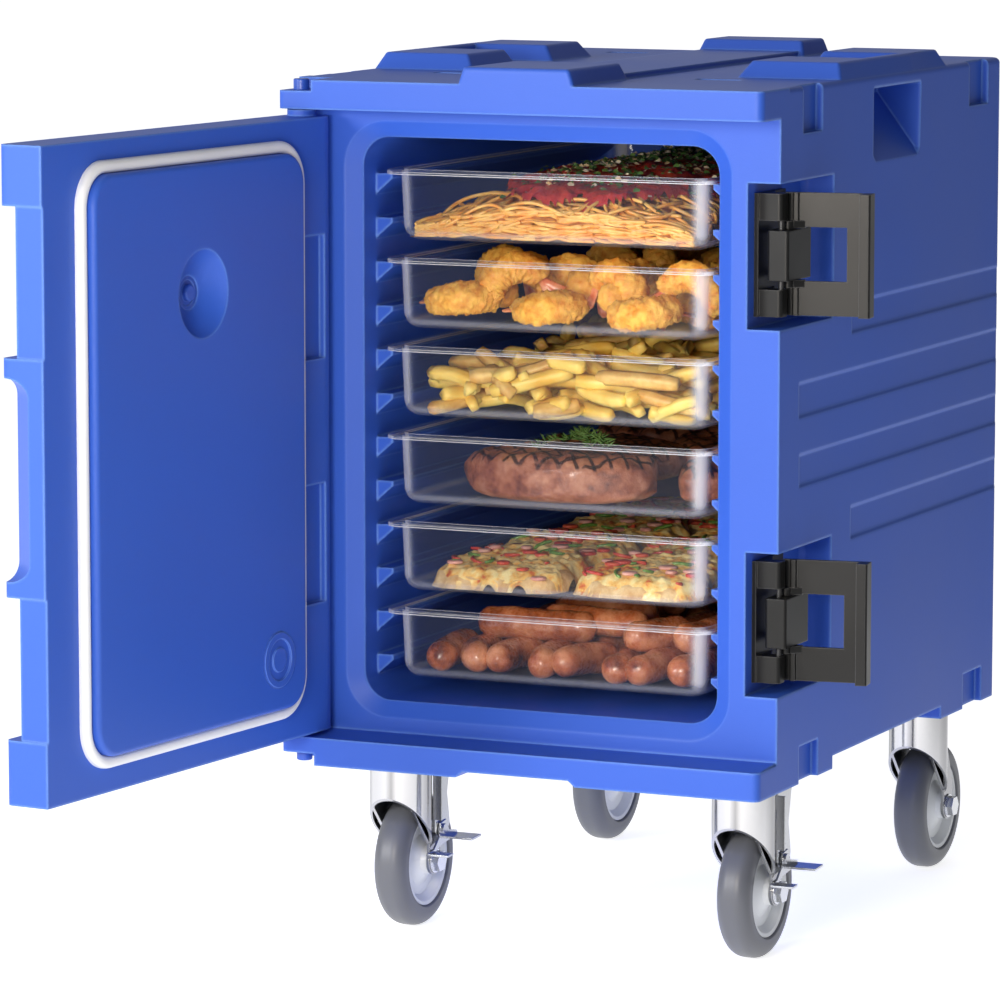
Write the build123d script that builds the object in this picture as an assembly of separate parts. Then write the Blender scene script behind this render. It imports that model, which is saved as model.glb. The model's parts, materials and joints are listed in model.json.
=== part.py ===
"""Insulated front-loading food carrier on swivel casters, with six food pans.

Millimetres, +Z up, front at -Y.  X = 0 and Y = 0 are the cabinet's centre and
Z = 0 is the flat middle field of its underside.
"""
import math
import os

from build123d import *

# Cabinet
WIDTH = 470.0
DEPTH = 630.0
HALF_W = WIDTH / 2
HALF_D = DEPTH / 2
DECK_Z = 613.0
FOOT_Z = -12.0
SEAT_Y = -270.5
TOP_LIP_Z = 586.6
BOTTOM_LIP_Z = 13.8
BOTTOM_LIP_SEAT_Z = 16.0

# Opening and cavity
CAVITY_X = 174.2
CAVITY_Z0 = 44.4
CAVITY_Z1 = 560.3
CAVITY_BACK_Y = 281.0
MOUTH_GROW = 14.9
MOUTH_DEEP = 8.0

# Rails and pans
RAIL_COUNT = 12
RAIL_PITCH = 40.3
RAIL_TOP_Z = 525.0
RAIL_TIP_X = 157.8
RAIL_FRONT_Y = -237.0
PAN_COUNT = 6
PAN_LONG = 530.0
PAN_WIDE = 325.0
PAN_DEEP = 65.0
PAN_WALL = 2.5
PAN_FRONT_Y = -250.0

# Door, drawn closed and then swung open about its pins
DOOR_HINGE_X = -234.3
DOOR_INNER_Y = -271.0
DOOR_LONG = 461.0
DOOR_THICK = 43.2
DOOR_Z0 = 18.9
DOOR_Z1 = 579.4
PIN_X = -220.5
PIN_Y = -295.0
PIN_R = 6.0
PIN_HEAD_R = 7.25
RUN_FIT = 0.05
DOOR_OPEN = 95.4
PANEL_X = 167.0
PANEL_Z0 = 52.0
PANEL_Z1 = 551.0
PANEL_PROUD = 13.0
PANEL_R = 28.0
GASKET_WIDE = 11.0
GASKET_TALL = 7.5
VENT_XZ = (0.0, 438.0)
DISH_R = 39.0
DISH_DEEP = 19.0
NOTCH_DEEP = 15.5
NOTCH_LONG = 40.0

# Latches
LATCH_Z = (465.5, 138.5)
LATCH_SPAN = 54.5
POCKET_X = 204.0
POCKET_HALF = 64.5
CHEEK_IN = 30.5
CHEEK_X = 229.5
ANCHOR = (226.0, -245.0)
SWING = (228.0, -234.0)
LATCH_PIN_R = 2.5
HOOK_TILT = 8.6
HOOK_IN = 4.5
HOOK_THICK = 4.5
HOOK_START = -3.5
HOOK_END = 75.5
HOOK_BAR = 10.0
HOOK_LIP = 13.5
WINDOW_END = 52.0

# Casters
CASTERS = {
    "fr": (172.0, -192.0),
    "fl": (-172.0, -192.0),
    "rr": (172.0, 265.0),
    "rl": (-172.0, 265.0),
}
BRAKED = ("fr", "fl")
WHEEL_R = 62.0
WHEEL_WIDE = 32.0
HUB_R = 43.0
AXLE_R = 6.0
AXLE_Z = -123.5
TRAIL = 28.0
FORK_R = 29.0
FORK_TOP_Z = -18.0
CHEEK_FACE = 18.7
CHEEK_THICK = 3.0
KINGPIN_R = 6.0
PEDAL_PIVOT = (36.0, -94.0)
PEDAL_PIN_R = 3.0


def block(x0, x1, y0, y1, z0, z1):
    """A box between the given limits."""
    middle = ((x0 + x1) / 2, (y0 + y1) / 2, (z0 + z1) / 2)
    return Pos(*middle) * Box(x1 - x0, y1 - y0, z1 - z0)


def rod_x(x0, x1, y, z, r):
    """A cylinder along X."""
    return Pos((x0 + x1) / 2, y, z) * Rot(0, 90, 0) * Cylinder(r, x1 - x0)


def rod_y(x, y0, y1, z, r):
    """A cylinder along Y."""
    return Pos(x, (y0 + y1) / 2, z) * Rot(90, 0, 0) * Cylinder(r, y1 - y0)


def rod_z(x, y, z0, z1, r):
    """A cylinder along Z."""
    return Pos(x, y, (z0 + z1) / 2) * Cylinder(r, z1 - z0)


def prism(points, along):
    """A polygon of 3-D points, extruded along a vector."""
    face = make_face(Polyline(*points, close=True))
    reach = Vector(*along)
    return extrude(face, amount=reach.length, dir=reach.normalized())


def prism_x(x0, x1, points):
    """A polygon of (y, z) points, extruded from x0 to x1."""
    return prism([(x0, y, z) for y, z in points], (x1 - x0, 0, 0))


def prism_y(y0, y1, points):
    """A polygon of (x, z) points, extruded from y0 to y1."""
    return prism([(x, y0, z) for x, z in points], (0, y1 - y0, 0))


def prism_z(z0, z1, points):
    """A polygon of (x, y) points, extruded from z0 to z1."""
    return prism([(x, y, z0) for x, y in points], (0, 0, z1 - z0))


def plane_y(x, y, z):
    """A sketch plane facing +Y, with its own x along X."""
    return Plane(origin=(x, y, z), x_dir=(1, 0, 0), z_dir=(0, 1, 0))


def slab_y(x0, x1, z0, z1, y0, y1, r):
    """A rounded rectangle in X and Z, extruded from y0 to y1."""
    face = plane_y((x0 + x1) / 2, y0, (z0 + z1) / 2) * RectangleRounded(x1 - x0, z1 - z0, r)
    return extrude(face, amount=y1 - y0, dir=(0, 1, 0))


def slab_z(x0, x1, y0, y1, z0, z1, r):
    """A rounded rectangle in X and Y, extruded from z0 to z1."""
    face = Pos((x0 + x1) / 2, (y0 + y1) / 2, z0) * RectangleRounded(x1 - x0, y1 - y0, r)
    return extrude(face, amount=z1 - z0)


def pad(x0, x1, y0, y1, z0, z1, slope_x0, slope_x1, slope_y0, slope_y1):
    """A raised pad whose four sides lean in by the given amounts."""
    low = Pos((x0 + x1) / 2, (y0 + y1) / 2, z0) * Rectangle(x1 - x0, y1 - y0)
    top_x0 = x0 + slope_x0
    top_x1 = x1 - slope_x1
    top_y0 = y0 + slope_y0
    top_y1 = y1 - slope_y1
    middle = ((top_x0 + top_x1) / 2, (top_y0 + top_y1) / 2, z1)
    high = Pos(*middle) * Rectangle(top_x1 - top_x0, top_y1 - top_y0)
    shape = loft([low, high])
    base = shape.faces().sort_by(Axis.Z)[0].edges()
    return fillet([e for e in shape.edges() if e not in base], 3.5)


def both_sides(shape):
    """The shape and its mirror image in X."""
    return shape + mirror(shape, about=Plane.YZ)


def save(name, shape):
    """Write one node."""
    shape.label = name
    export_step(shape, f"parts/{name}.step")


# --------------------------------------------------------------------------
# Cabinet

def cabinet_outside():
    """The outer block with its lips, feet and raised deck."""
    body = block(-HALF_W, HALF_W, SEAT_Y, HALF_D, FOOT_Z, DECK_Z)
    back_edges = body.edges().filter_by(Axis.Z).group_by(Axis.Y)[-1]
    body = fillet(back_edges, 16)
    top_edges = body.faces().sort_by(Axis.Z)[-1].edges()
    body = fillet(top_edges.filter_by(lambda e: e.center().Y > SEAT_Y + 1), 5)
    lip = slab_z(-HALF_W, HALF_W, -HALF_D, SEAT_Y + 40, TOP_LIP_Z, DECK_Z, 7)
    lip -= block(-HALF_W, HALF_W, SEAT_Y + 20, SEAT_Y + 41, TOP_LIP_Z, DECK_Z)
    low = slab_z(-HALF_W, HALF_W, -HALF_D, SEAT_Y + 40, FOOT_Z, BOTTOM_LIP_Z, 7)
    low -= block(-HALF_W, HALF_W, SEAT_Y + 20, SEAT_Y + 41, FOOT_Z, BOTTOM_LIP_Z)
    slope = prism_x(
        -HALF_W + 1,
        HALF_W - 1,
        [
            (-HALF_D + 8, BOTTOM_LIP_Z - 1),
            (-HALF_D + 8, BOTTOM_LIP_Z),
            (SEAT_Y + 1, BOTTOM_LIP_SEAT_Z),
            (SEAT_Y + 1, BOTTOM_LIP_Z - 1),
        ],
    )
    return body + lip + low + slope


def deck_pads():
    """Everything that stands proud of the flat deck."""
    pads = block(-50, 50, -HALF_D + 8, HALF_D - 6, DECK_Z - 6, DECK_Z + 5)
    pads += pad(-59, 59, -HALF_D, -187, DECK_Z - 8, 628, 8, 8, 0, 12)
    pads += pad(-59, 59, 235, HALF_D - 3, DECK_Z - 8, 628, 8, 8, 12, 5)
    for y0, y1, in_y0, in_y1 in ((-124, -15, 16, 10), (60, 163, 10, 16)):
        pads += both_sides(pad(128, HALF_W, y0, y1, DECK_Z - 6, 628, 14, 9, in_y0, in_y1))
    pads += both_sides(pad(212, HALF_W, -80, 120, DECK_Z - 6, 628, 4, 9, 4, 4))
    return pads


def deck_slots():
    """Four shallow slots in the deck."""
    slots = None
    for y in (-160, 240):
        slot = slab_z(109, 151, y - 7, y + 7, DECK_Z - 5, DECK_Z + 1, 4)
        slots = slot if slots is None else slots + slot
    return both_sides(slots)


def side_relief():
    """Recesses in the two long sides: bands, edge slots and lift pockets."""
    cut = None
    for z0, z1, y0 in ((381.6, 412, -93), (317.7, 351, -223), (255.5, 287, -221), (193, 225, -92)):
        band = prism_y(
            y0,
            HALF_D + 1,
            [
                (HALF_W - 2.2, z0 + 3),
                (HALF_W + 1, z0 - 1),
                (HALF_W + 1, z1 + 1),
                (HALF_W - 2.2, z1 - 3),
            ],
        )
        cut = band if cut is None else cut + band
    for y0, y1 in ((-217, -170), (216, 269)):
        cut += block(HALF_W - 7, HALF_W + 1, y0, y1, 571, DECK_Z + 1)
        cut += block(HALF_W - 7, HALF_W + 1, y0, y1, FOOT_Z - 1, 22)
    ramp = prism_y(
        -46,
        84,
        [
            (HALF_W + 1, 532.7),
            (HALF_W + 1, 601),
            (HALF_W - 6, 605),
            (198, 605),
            (191, 598),
            (191, 591),
        ],
    )
    mouth = prism_x(
        180,
        HALF_W + 1,
        [(-42, 540), (-34, 533.6), (74, 533.6), (80, 541), (83, 600), (76, 606), (-36, 606), (-42, 600)],
    )
    cut += ramp & mouth
    return both_sides(cut)


def latch_pockets():
    """The two notches in the right front edge that hold the latches."""
    cut = None
    for z in LATCH_Z:
        face = Pos(0, 0, z - POCKET_HALF) * RectangleRounded(62, 152, 6)
        notch = Pos(POCKET_X + 31, -216, 0) * extrude(face, amount=2 * POCKET_HALF)
        cut = notch if cut is None else cut + notch
    return cut


def underside_relief():
    """Raise the middle of the underside, and a channel between the feet."""
    cut = block(-HALF_W - 1, HALF_W + 1, -133, 155, FOOT_Z - 1, 0)
    cut += prism_y(
        -HALF_D - 1,
        HALF_D + 1,
        [(-60, FOOT_Z - 1), (-52, FOOT_Z + 5.5), (52, FOOT_Z + 5.5), (60, FOOT_Z - 1)],
    )
    return cut


def ears():
    """Step the left ends of both lips back to make the hinge ears."""
    cut = block(-HALF_W - 1, -201, -HALF_D - 1, SEAT_Y, 603, DECK_Z + 1)
    cut += block(-HALF_W - 1, -201, -HALF_D - 1, SEAT_Y, FOOT_Z - 1, -1)
    return cut


def mouth_and_cavity():
    """The opening's sloping mouth and the space behind it."""
    outer = plane_y(0, SEAT_Y, (CAVITY_Z0 + CAVITY_Z1) / 2)
    outer *= RectangleRounded(
        2 * CAVITY_X + 2 * MOUTH_GROW, CAVITY_Z1 - CAVITY_Z0 + 2 * MOUTH_GROW, 41
    )
    inner = plane_y(0, SEAT_Y + MOUTH_DEEP, (CAVITY_Z0 + CAVITY_Z1) / 2)
    inner *= RectangleRounded(2 * CAVITY_X, CAVITY_Z1 - CAVITY_Z0, 26)
    mouth = loft([outer, inner])
    room = slab_y(-CAVITY_X, CAVITY_X, CAVITY_Z0, CAVITY_Z1, SEAT_Y + 2, CAVITY_BACK_Y, 26)
    room = fillet(room.faces().sort_by(Axis.Y)[-1].edges(), 12)
    return mouth + room


def rails():
    """Twelve ledges on each side of the cavity."""
    all_rails = None
    for k in range(RAIL_COUNT):
        top = RAIL_TOP_Z - k * RAIL_PITCH
        rail = prism_y(
            RAIL_FRONT_Y,
            CAVITY_BACK_Y + 4,
            [
                (CAVITY_X + 3, top),
                (RAIL_TIP_X, top),
                (RAIL_TIP_X, top - 4.5),
                (CAVITY_X - 3, top - 16),
                (CAVITY_X, top - 19.5),
                (CAVITY_X + 3, top - 19.5),
            ],
        )
        all_rails = rail if all_rails is None else all_rails + rail
    return both_sides(all_rails)


def cabinet_foam():
    """The insulating core that fills the shell's walls."""
    core = block(-200, 200, -256, 309, 5, 563)
    core += block(-185, 185, -256, 309, 563, 604)
    return core - block(-179.5, 179.5, -257, 286, 38.5, 565.8)


def back_relief():
    """A shallow panel on the back."""
    return slab_y(-150, 150, 110, 500, HALF_D - 2.2, HALF_D + 1, 18)


def cabinet_shell(foam):
    """The moulded skin, with the rails and the hinge ears."""
    shell = cabinet_outside() + deck_pads()
    for cut in (deck_slots(), side_relief(), latch_pockets(), underside_relief(), ears()):
        shell -= cut
    shell -= back_relief()
    shell -= mouth_and_cavity()
    shell += rails()
    shell -= rod_z(PIN_X, PIN_Y, FOOT_Z - 1, DECK_Z + 1, PIN_R + 0.02)
    return shell - foam


def hinge_pin(z_ear, z_door, up):
    """A headed pin through an ear and into the door."""
    head = rod_z(PIN_X, PIN_Y, min(z_ear, z_ear + 10 * up), max(z_ear, z_ear + 10 * up), PIN_HEAD_R)
    rim = head.edges().filter_by(GeomType.CIRCLE).sort_by(Axis.Z)[-1 if up > 0 else 0]
    head = fillet(rim, 1.5)
    return head + rod_z(PIN_X, PIN_Y, min(z_ear, z_door), max(z_ear, z_door), PIN_R)


# --------------------------------------------------------------------------
# Door

def door_block(s0, s1, n0, n1, z0, z1):
    """A box in door terms: s from the hinge edge, n outwards from the inner face."""
    x0 = DOOR_HINGE_X + s0
    x1 = DOOR_HINGE_X + s1
    return block(x0, x1, DOOR_INNER_Y - n1, DOOR_INNER_Y - n0, z0, z1)


def door_prism(z0, z1, points):
    """A polygon of (s, n) points, extruded from z0 to z1."""
    return prism_z(z0, z1, [(DOOR_HINGE_X + s, DOOR_INNER_Y - n) for s, n in points])


def swing_open(shape):
    """Turn a closed-door shape to its open rest position."""
    return shape.rotate(Axis((PIN_X, PIN_Y, 0), (0, 0, 1)), -DOOR_OPEN)


def door_panel_ring(grow, y0, y1):
    """The inner panel's outline, grown by an amount, between two depths."""
    return slab_y(
        -PANEL_X - grow,
        PANEL_X + grow,
        PANEL_Z0 - grow,
        PANEL_Z1 + grow,
        y0,
        y1,
        PANEL_R + grow,
    )


def vent_plug():
    """The vent plug at the bottom of the panel's dish."""
    x, z = VENT_XZ
    floor = DOOR_INNER_Y + PANEL_PROUD - DISH_DEEP
    plug = rod_y(x, floor - 3, floor + 2, z, 15)
    plug -= rod_y(x, floor + 1, floor + 3, z, 11.5)
    knob = rod_y(x, floor, floor + 6, z, 7.5)
    return plug + fillet(knob.faces().sort_by(Axis.Y)[-1].edges(), 2)


def vent_dish():
    """A shallow round dish in the panel, wide at its face."""
    x, z = VENT_XZ
    face = DOOR_INNER_Y + PANEL_PROUD
    return dish_ball(0) + rod_y(x, face - DISH_DEEP - 3, face, z, 15)


def dish_ball(grow):
    """The ball whose cap is the dish, grown by an amount."""
    x, z = VENT_XZ
    ball = (DISH_R**2 + DISH_DEEP**2) / (2 * DISH_DEEP)
    centre = DOOR_INNER_Y + PANEL_PROUD - DISH_DEEP + ball
    return Pos(x, centre, z) * Sphere(ball + grow)


def fill_plug():
    """The smaller plug in the panel's lower corner."""
    x = -119.0
    z = 99.0
    face = DOOR_INNER_Y + PANEL_PROUD
    plug = rod_y(x, face - 4, face + 1.5, z, 25)
    plug -= rod_y(x, face - 0.5, face + 2, z, 19)
    return plug + rod_y(x, face - 1, face + 1.2, z, 11)


def door_foam():
    """The door's insulating core."""
    x, z = VENT_XZ
    core = door_block(34, 412, 9.5, 25, 26, 572) - dish_ball(3.5)
    return core - rod_y(x, DOOR_INNER_Y - 13, DOOR_INNER_Y, z, 19)


def door_shell(foam):
    """The door's moulded skin, drawn closed."""
    door = door_block(0, DOOR_LONG, 0, DOOR_THICK, DOOR_Z0, DOOR_Z1)
    ends = door.edges().filter_by(Axis.Z)
    outer = ends.group_by(Axis.Y)[0]
    door = fillet(outer, 7)
    corner = door_block(-1, PIN_X - DOOR_HINGE_X, -1, DOOR_INNER_Y - PIN_Y, DOOR_Z0, DOOR_Z1)
    corner -= rod_z(PIN_X, PIN_Y, DOOR_Z0 - 1, DOOR_Z1 + 1, 23.9)
    door -= corner
    panel = door_panel_ring(0, DOOR_INNER_Y - 1, DOOR_INNER_Y + PANEL_PROUD)
    panel = fillet(panel.faces().sort_by(Axis.Y)[-1].edges(), 4)
    door += panel
    for z0, z1 in ((400, 528), (75, 197)):
        door -= door_block(
            DOOR_LONG - NOTCH_LONG,
            DOOR_LONG + 1,
            DOOR_THICK - NOTCH_DEEP,
            DOOR_THICK + 1,
            z0,
            z1,
        )
        door -= door_block(DOOR_LONG - 2, DOOR_LONG + 1, -1, DOOR_THICK + 1, z0, z1)
    grip = door_prism(
        210,
        383,
        [
            (DOOR_LONG + 1, 14.4),
            (DOOR_LONG + 1, DOOR_THICK + 1),
            (DOOR_LONG - 24.9, DOOR_THICK + 1),
        ],
    )
    slant = []
    for edge in grip.edges():
        along = edge.tangent_at(0.5)
        if abs(along.Z) < 0.1 and min(abs(along.X), abs(along.Y)) > 0.1:
            slant.append(edge)
    door -= fillet(slant, 16)
    for z0, z1 in ((361, 473), (138, 247)):
        door -= door_block(14, 54, -1, 6, z0, z1)
    face = DOOR_INNER_Y - DOOR_THICK
    field = slab_y(-165, 140, 70, 530, face - 1, face + 3, 20)
    field -= slab_y(-150, 125, 85, 515, face - 2, face + 4, 14)
    door -= field
    door -= vent_dish()
    door += rod_z(PIN_X, PIN_Y, DOOR_Z0 - 2, DOOR_Z1 + 6, 13)
    door -= rod_y(-119, DOOR_INNER_Y + 9, DOOR_INNER_Y + 14, 99, 25)
    door -= rod_z(PIN_X, PIN_Y, DOOR_Z0 - 3, DOOR_Z0 + 40, PIN_R + RUN_FIT)
    door -= rod_z(PIN_X, PIN_Y, DOOR_Z1 - 40, DOOR_Z1 + 7, PIN_R + RUN_FIT)
    return door - foam


def door_gasket():
    """A D-shaped seal round the inner panel."""
    y0 = DOOR_INNER_Y
    ring = door_panel_ring(GASKET_WIDE + 0.1, y0, y0 + GASKET_TALL)
    ring -= door_panel_ring(0.1, y0 - 1, y0 + GASKET_TALL + 1)
    return fillet(ring.faces().sort_by(Axis.Y)[-1].edges(), 5)


# --------------------------------------------------------------------------
# Pans

def pan(rail_index):
    """One clear full-size food pan hanging by its rim on a pair of rails."""
    rest = RAIL_TOP_Z - rail_index * RAIL_PITCH
    y0 = PAN_FRONT_Y
    y1 = y0 + PAN_LONG
    half = PAN_WIDE / 2
    top = rest + 4.8
    rim = slab_z(-half, half, y0, y1, rest + 0.3, top, 16)
    rim = fillet(rim.faces().sort_by(Axis.Z)[-1].edges(), 1.8)
    rim -= slab_z(-half + 2.3, half - 2.3, y0 + 2.3, y1 - 2.3, rest, top - 2.5, 14)
    middle = (0, (y0 + y1) / 2)
    rim_drop = top - 2.5
    high = Pos(*middle, top) * RectangleRounded(PAN_WIDE - 16, PAN_LONG - 16, 22)
    low = Pos(*middle, top - PAN_DEEP) * RectangleRounded(PAN_WIDE - 22, PAN_LONG - 22, 19)
    tub = loft([low, high])
    tub = fillet(tub.faces().sort_by(Axis.Z)[0].edges(), 16)
    inner_high = Pos(*middle, top + 0.01) * RectangleRounded(
        PAN_WIDE - 16 - 2 * PAN_WALL, PAN_LONG - 16 - 2 * PAN_WALL, 19.5
    )
    inner_low = Pos(*middle, top - PAN_DEEP + PAN_WALL) * RectangleRounded(
        PAN_WIDE - 22 - 2 * PAN_WALL, PAN_LONG - 22 - 2 * PAN_WALL, 16.5
    )
    hollow = loft([inner_low, inner_high])
    hollow = fillet(hollow.faces().sort_by(Axis.Z)[0].edges(), 13.5)
    flange = slab_z(-half + 3, half - 3, y0 + 3, y1 - 3, rim_drop, top - 0.4, 13)
    return rim + flange + tub - hollow


# --------------------------------------------------------------------------
# Latches

def latch_base(z):
    """The fixed part: a floor plate and two cheeks that carry the anchor pin."""
    ax, ay = ANCHOR
    base = block(POCKET_X, POCKET_X + 4, -255, -190, z - LATCH_SPAN, z + LATCH_SPAN)
    for side in (-1, 1):
        z0 = min(z + side * CHEEK_IN, z + side * LATCH_SPAN)
        z1 = max(z + side * CHEEK_IN, z + side * LATCH_SPAN)
        cheek = block(POCKET_X + 3, CHEEK_X, -253, -236.5, z0, z1)
        cheek = fillet(cheek.edges().filter_by(Axis.Z).group_by(Axis.X)[-1], 4)
        base += cheek
        base += prism_z(z0, z1, [(POCKET_X + 3, -238), (216, -238), (POCKET_X + 3, -212)])
        base -= rod_z(ax, ay, z0 - 1, z1 + 1, LATCH_PIN_R + 0.02)
    for side in (-1, 1):
        base -= rod_x(POCKET_X - 1, POCKET_X + 5, -199, z + side * 42, 2.7)
    return base


def latch_screws(z):
    """Two pan-head screws that hold the base in its pocket."""
    screws = None
    for side in (-1, 1):
        shank = rod_x(POCKET_X, POCKET_X + 4.5, -199, z + side * 42, 2.6)
        head = rod_x(POCKET_X + 4.02, POCKET_X + 7, -199, z + side * 42, 5)
        rim = head.edges().filter_by(GeomType.CIRCLE).sort_by(Axis.X)[-1]
        head = fillet(rim, 1.4)
        head -= block(
            POCKET_X + 6, POCKET_X + 8, -202.2, -195.8, z + side * 42 - 0.6, z + side * 42 + 0.6
        )
        head -= block(
            POCKET_X + 6, POCKET_X + 8, -199.6, -198.4, z + side * 42 - 3.2, z + side * 42 + 3.2
        )
        screw = shank + head
        screws = screw if screws is None else screws + screw
    return screws


def latch_handle(z):
    """The block that is pulled outwards to free the hook."""
    ax, ay = ANCHOR
    bx, by = SWING
    grip = block(217, 237, -257, -200, z - 22.5, z + 22.5)
    grip = fillet(grip.edges().filter_by(Axis.Z), 3)
    grip = fillet(grip.faces().sort_by(Axis.X)[-1].edges(), 1)
    grip -= block(216, 222, -226, -199, z - 16, z + 16)
    grip -= rod_z(ax, ay, z - 30, z + 30, LATCH_PIN_R + RUN_FIT)
    return grip - rod_z(bx, by, z - 30, z + 30, LATCH_PIN_R + 0.02)


def hook_prism(z0, z1, points):
    """A polygon of (along, offset) points in the hook's own terms."""
    bx, by = SWING
    c = math.cos(math.radians(HOOK_TILT))
    s = math.sin(math.radians(HOOK_TILT))
    return prism_z(z0, z1, [(bx + c * d - s * n, by + s * d + c * n) for d, n in points])


def latch_hook(z):
    """The windowed plate whose turned end pulls the door shut."""
    bx, by = SWING
    out = HOOK_IN + HOOK_THICK
    plate = hook_prism(
        z - LATCH_SPAN,
        z + LATCH_SPAN,
        [
            (HOOK_START, HOOK_IN),
            (HOOK_END, HOOK_IN),
            (HOOK_END, out),
            (HOOK_START, out),
        ],
    )
    plate -= hook_prism(z - 24, z + 24, [(-6, 0), (WINDOW_END, 0), (WINDOW_END, 20), (-6, 20)])
    bar = hook_prism(
        z - LATCH_SPAN,
        z + LATCH_SPAN,
        [
            (HOOK_END - HOOK_BAR, HOOK_IN - HOOK_LIP),
            (HOOK_END - 1.5, HOOK_IN - HOOK_LIP),
            (HOOK_END, HOOK_IN - HOOK_LIP + 1.5),
            (HOOK_END, out + 0.8),
            (HOOK_END - HOOK_BAR, out + 0.8),
        ],
    )
    hook = plate + bar
    for side in (-1, 1):
        z0 = min(z + side * 23, z + side * 29.5)
        z1 = max(z + side * 23, z + side * 29.5)
        arm = hook_prism(z0, z1, [(-3.6, 3.4), (-1, out), (14, out), (14, HOOK_IN), (5, -1)])
        hook += arm + rod_z(bx, by, z0, z1, 5)
        hook -= rod_z(bx, by, z0 - 1, z1 + 1, LATCH_PIN_R + RUN_FIT)
        tip = z + side * LATCH_SPAN
        bead = hook_prism(
            min(z + side * 24, tip),
            max(z + side * 24, tip),
            [
                (3, HOOK_IN + 1),
                (3, HOOK_IN - 1.5),
                (4.5, HOOK_IN - 2.5),
                (8, HOOK_IN - 2.5),
                (9.5, HOOK_IN + 1),
            ],
        )
        hook += bead
    return hook


# --------------------------------------------------------------------------
# Casters

def caster_mount(x, y):
    """The plate, race and kingpin that stay with the cabinet."""
    plate = slab_z(x - 46, x + 46, y - 40, y + 40, FOOT_Z - 2.6, FOOT_Z, 6)
    mount = plate + rod_z(x, y, FOOT_Z - 5.2, FOOT_Z - 2, FORK_R)
    mount += rod_z(x, y, FORK_TOP_Z - 9, FOOT_Z - 5, KINGPIN_R)
    mount += rod_z(x, y, FORK_TOP_Z - 9, FORK_TOP_Z - 5, 11)
    return mount


def caster_bolts(x, y):
    """Four hexagon-head bolts through the mounting plate."""
    bolts = None
    for dx in (-37, 37):
        for dy in (-31, 31):
            head = Pos(x + dx, y + dy, FOOT_Z - 6.6) * RegularPolygon(6.5, 6)
            head = extrude(head, amount=4)
            bolts = head if bolts is None else bolts + head
    return bolts


def caster_fork(x, y):
    """A tube cut away at a slant, with two legs that carry the axle."""
    inside = FORK_R - 2.5
    tube = rod_z(0, 0, -136, FORK_TOP_Z, FORK_R) - rod_z(0, 0, -137, FORK_TOP_Z - 4.5, inside)
    tube -= prism_x(-40, 40, [(-40, -46), (-29, -57), (30, -120), (30, -150), (-40, -150)])
    tube -= block(-CHEEK_FACE, CHEEK_FACE, 0, 40, -150, -57)
    fork = tube
    for side in (-1, 1):
        x0 = min(side * CHEEK_FACE, side * (CHEEK_FACE + CHEEK_THICK))
        x1 = max(side * CHEEK_FACE, side * (CHEEK_FACE + CHEEK_THICK))
        leg = prism_x(
            x0,
            x1,
            [
                (-18, -42),
                (-18, -68.8),
                (17, -106.2),
                (TRAIL - 12, AXLE_Z),
                (TRAIL, AXLE_Z - 6),
                (TRAIL + 12, AXLE_Z),
                (TRAIL + 11, -100),
                (22, -58),
                (18, -42),
            ],
        )
        fork += leg + rod_x(x0, x1, TRAIL, AXLE_Z, 13)
    fork -= rod_z(0, 0, FORK_TOP_Z - 6, FORK_TOP_Z + 1, KINGPIN_R + RUN_FIT)
    fork -= rod_x(-40, 40, TRAIL, AXLE_Z, AXLE_R + 0.02)
    return Pos(x, y, 0) * fork


def caster_axle(x, y):
    """The wheel bolt with a hexagon head and nut."""
    face = CHEEK_FACE + CHEEK_THICK + 0.05
    axle = rod_x(-face - 9.5, face + 1, TRAIL, AXLE_Z, AXLE_R)
    axle += rod_x(face, face + 1.2, TRAIL, AXLE_Z, 11.5)
    axle += rod_x(-face - 1.2, -face, TRAIL, AXLE_Z, 11.5)
    for x0 in (face + 1, -face - 7.5):
        turn = Plane(origin=(x0, TRAIL, AXLE_Z), x_dir=(0, 1, 0), z_dir=(1, 0, 0))
        axle += extrude(turn * RegularPolygon(10.2, 6), amount=6.5, dir=(1, 0, 0))
    return Pos(x, y, 0) * axle


def turned_x(points, x, y):
    """Turn a profile of (x, radius) points about the wheel's axle."""
    face = make_face(Polyline(*[(a, r) for a, r in points], close=True))
    ring = revolve(face, Axis.X, 360)
    return Pos(x, y + TRAIL, AXLE_Z) * ring


def caster_hub(x, y):
    """The dished wheel centre."""
    bore = AXLE_R + RUN_FIT
    return turned_x(
        [
            (-18.2, bore),
            (-18.2, 12),
            (-13, 14),
            (-7, 24),
            (-6.5, 33),
            (-13.5, 39),
            (-14.2, HUB_R - 0.5),
            (-12, HUB_R - 0.02),
            (12, HUB_R - 0.02),
            (14.2, HUB_R - 0.5),
            (13.5, 39),
            (6.5, 33),
            (7, 24),
            (13, 14),
            (18.2, 12),
            (18.2, bore),
        ],
        x,
        y,
    )


def caster_tyre(x, y):
    """The rounded tread."""
    half = WHEEL_WIDE / 2
    profile = Pos(0, (HUB_R + WHEEL_R) / 2) * Rectangle(2 * half, WHEEL_R - HUB_R)
    crown = profile.vertices().group_by(Axis.Y)[-1]
    profile = fillet(crown, 12.5)
    foot = profile.vertices().group_by(Axis.Y)[0]
    profile = fillet(foot, 2)
    ring = revolve(profile, Axis.X, 360)
    return Pos(x, y + TRAIL, AXLE_Z) * ring


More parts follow.
